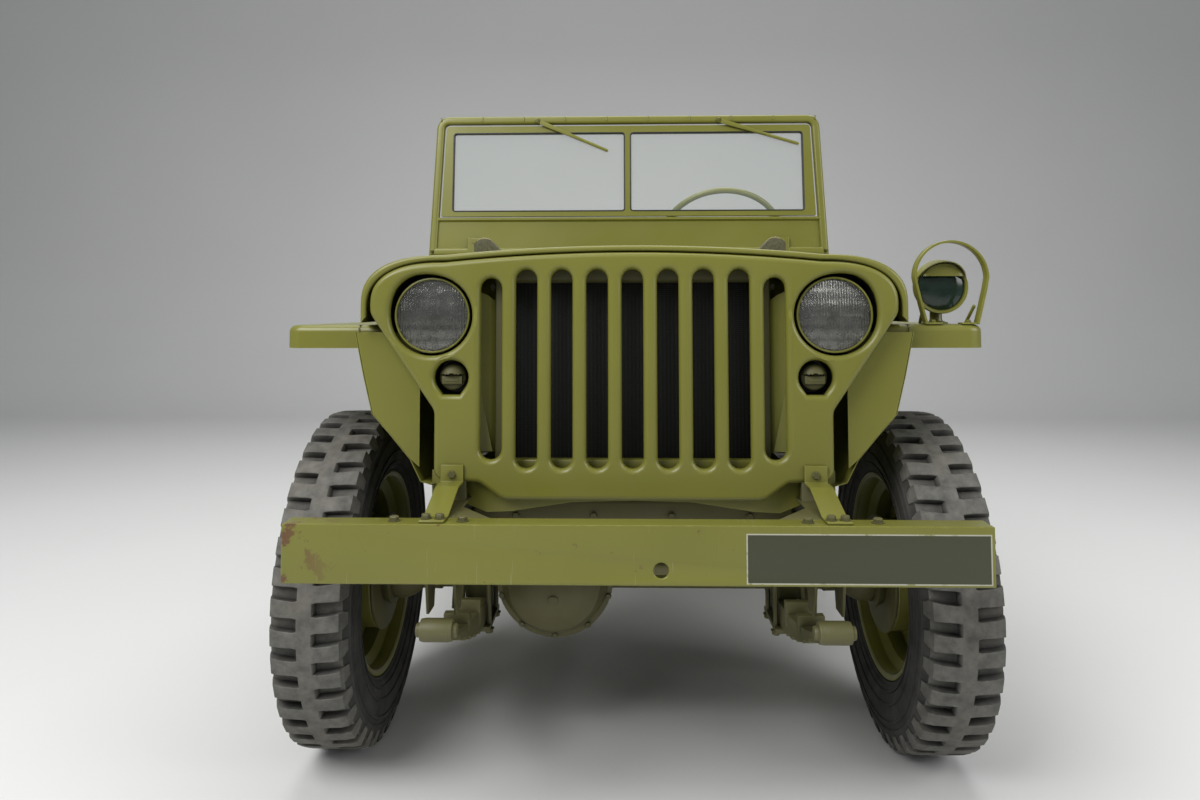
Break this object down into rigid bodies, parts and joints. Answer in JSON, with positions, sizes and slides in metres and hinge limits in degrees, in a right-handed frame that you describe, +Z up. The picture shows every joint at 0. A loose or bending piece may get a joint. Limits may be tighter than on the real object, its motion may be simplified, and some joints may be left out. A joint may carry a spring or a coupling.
{
  "type": "quarter-ton 4x4 army utility car",
  "caption": "Open quarter-ton four-wheel-drive army utility car with stamped slotted grille, folding windscreen, steered front wheels and lug tyres.",
  "frame": {"origin": "on the ground under the middle of the car's box", "axes": "+Y to the rear along the length, front faces -Y, +X to the car's left, +Z up"},
  "size_m": [1.5646, 3.33, 1.5989],
  "materials": {
    "olive_paint": "satin",
    "chassis_paint": "matte",
    "tyre_rubber": "matte",
    "glass": "gloss",
    "canvas": "matte",
    "wood": "matte",
    "black_parts": "gloss",
    "wiper_metal": "matte"
  },
  "bodies": {
    "chassis": {"blackout_lamp": "olive_paint", "body_sides": "olive_paint", "bumper_straps": "olive_paint", "cowl": "olive_paint", "dash_panel": "olive_paint", "exhaust": "chassis_paint", "fenders": "olive_paint", "floor_pan": "olive_paint", "frame": "chassis_paint", "front_axle": "chassis_paint", "front_bumper": "olive_paint", "fuel_tank": "olive_paint", "grab_handles": "olive_paint", "grille": "olive_paint", "hood_latches": "olive_paint", "lamp_bowls": "olive_paint", "lamp_lenses": "glass", "leaf_springs": "chassis_paint", "levers": "black_parts", "pedals": "olive_paint", "pintle_hook": "chassis_paint", "power_unit": "chassis_paint", "prop_shafts": "chassis_paint", "radiator": "chassis_paint", "rear_axle": "chassis_paint", "rear_bumperettes": "olive_paint", "seat_cushions": "canvas", "seat_frames": "olive_paint", "shock_absorbers": "chassis_paint", "spare_rim": "olive_paint", "spare_tyre": "tyre_rubber", "steering_column": "olive_paint", "tail_lamps": "olive_paint", "tail_panel": "olive_paint", "wheel_houses": "olive_paint"},
    "hood": {"hood": "olive_paint", "hood_blocks": "wood"},
    "windscreen": {"windscreen_frame": "olive_paint", "windscreen_sash": "olive_paint", "windscreen_glass": "glass", "wipers": "wiper_metal"},
    "knuckle_left": {"knuckle_left": "chassis_paint"},
    "knuckle_right": {"knuckle_right": "chassis_paint"},
    "tie_rod": {"tie_rod": "chassis_paint"},
    "steering_wheel": {"steering_wheel": "black_parts"},
    "wheel_front_left": {"wheel_front_left": "olive_paint", "tyre_front_left": "tyre_rubber"},
    "wheel_front_right": {"wheel_front_right": "olive_paint", "tyre_front_right": "tyre_rubber"},
    "wheel_rear_left": {"wheel_rear_left": "olive_paint", "tyre_rear_left": "tyre_rubber"},
    "wheel_rear_right": {"wheel_rear_right": "olive_paint", "tyre_rear_right": "tyre_rubber"},
    "glovebox_lid": {"glovebox_lid": "olive_paint"},
    "toolbox_lid_left": {"toolbox_lid_left": "olive_paint"},
    "toolbox_lid_right": {"toolbox_lid_right": "olive_paint"}
  },
  "joints": [
    {"name": "hood_hinge", "type": "hinge", "parent": "chassis", "child": "hood", "pos_m": [0, -0.5, 1.095], "axis": [-1, 0, 0], "range_deg": [0, 95]},
    {"name": "windscreen_fold", "type": "hinge", "parent": "chassis", "child": "windscreen", "pos_m": [0, -0.349, 1.12], "axis": [-1, 0, 0], "range_deg": [-88, 0]},
    {"name": "steer_left", "type": "hinge", "parent": "chassis", "child": "knuckle_left", "pos_m": [0.52, -1.165, 0.36], "axis": [0, 0, 1], "range_deg": [-26, 26]},
    {"name": "steer_right", "type": "hinge", "parent": "chassis", "child": "knuckle_right", "pos_m": [-0.52, -1.165, 0.36], "axis": [0, 0, 1], "range_deg": [-27, 27]},
    {"name": "tie_rod_pivot", "type": "hinge", "parent": "knuckle_left", "child": "tie_rod", "pos_m": [0.498, -1.33, 0.409], "axis": [0, 0, 1], "range_deg": [-27, 27]},
    {"name": "steering_wheel_turn", "type": "hinge", "parent": "chassis", "child": "steering_wheel", "pos_m": [0.335, -0.075, 1.195], "axis": [0, 0.788, 0.6157], "range_deg": [-370, 370]},
    {"name": "roll_front_left", "type": "hinge", "parent": "knuckle_left", "child": "wheel_front_left", "pos_m": [0.62, -1.165, 0.36], "axis": [1, 0, 0], "continuous": true},
    {"name": "roll_front_right", "type": "hinge", "parent": "knuckle_right", "child": "wheel_front_right", "pos_m": [-0.62, -1.165, 0.36], "axis": [1, 0, 0], "continuous": true},
    {"name": "roll_rear_left", "type": "hinge", "parent": "chassis", "child": "wheel_rear_left", "pos_m": [0.62, 0.867, 0.36], "axis": [1, 0, 0], "continuous": true},
    {"name": "roll_rear_right", "type": "hinge", "parent": "chassis", "child": "wheel_rear_right", "pos_m": [-0.62, 0.867, 0.36], "axis": [1, 0, 0], "continuous": true},
    {"name": "glovebox_hinge", "type": "hinge", "parent": "chassis", "child": "glovebox_lid", "pos_m": [-0.33, -0.3335, 0.865], "axis": [-1, 0, 0], "range_deg": [0, 90]},
    {"name": "toolbox_hinge_left", "type": "hinge", "parent": "chassis", "child": "toolbox_lid_left", "pos_m": [0.709, 1.282, 0.8265], "axis": [0, 1, 0], "range_deg": [0, 80]},
    {"name": "toolbox_hinge_right", "type": "hinge", "parent": "chassis", "child": "toolbox_lid_right", "pos_m": [-0.709, 1.282, 0.8265], "axis": [0, -1, 0], "range_deg": [0, 80]}
  ],
  "couplings": [
    {"joint": "steer_right", "follows": "steer_left", "ratio": 1},
    {"joint": "tie_rod_pivot", "follows": "steer_left", "ratio": -1},
    {"joint": "steering_wheel_turn", "follows": "steer_left", "ratio": 14}
  ]
}
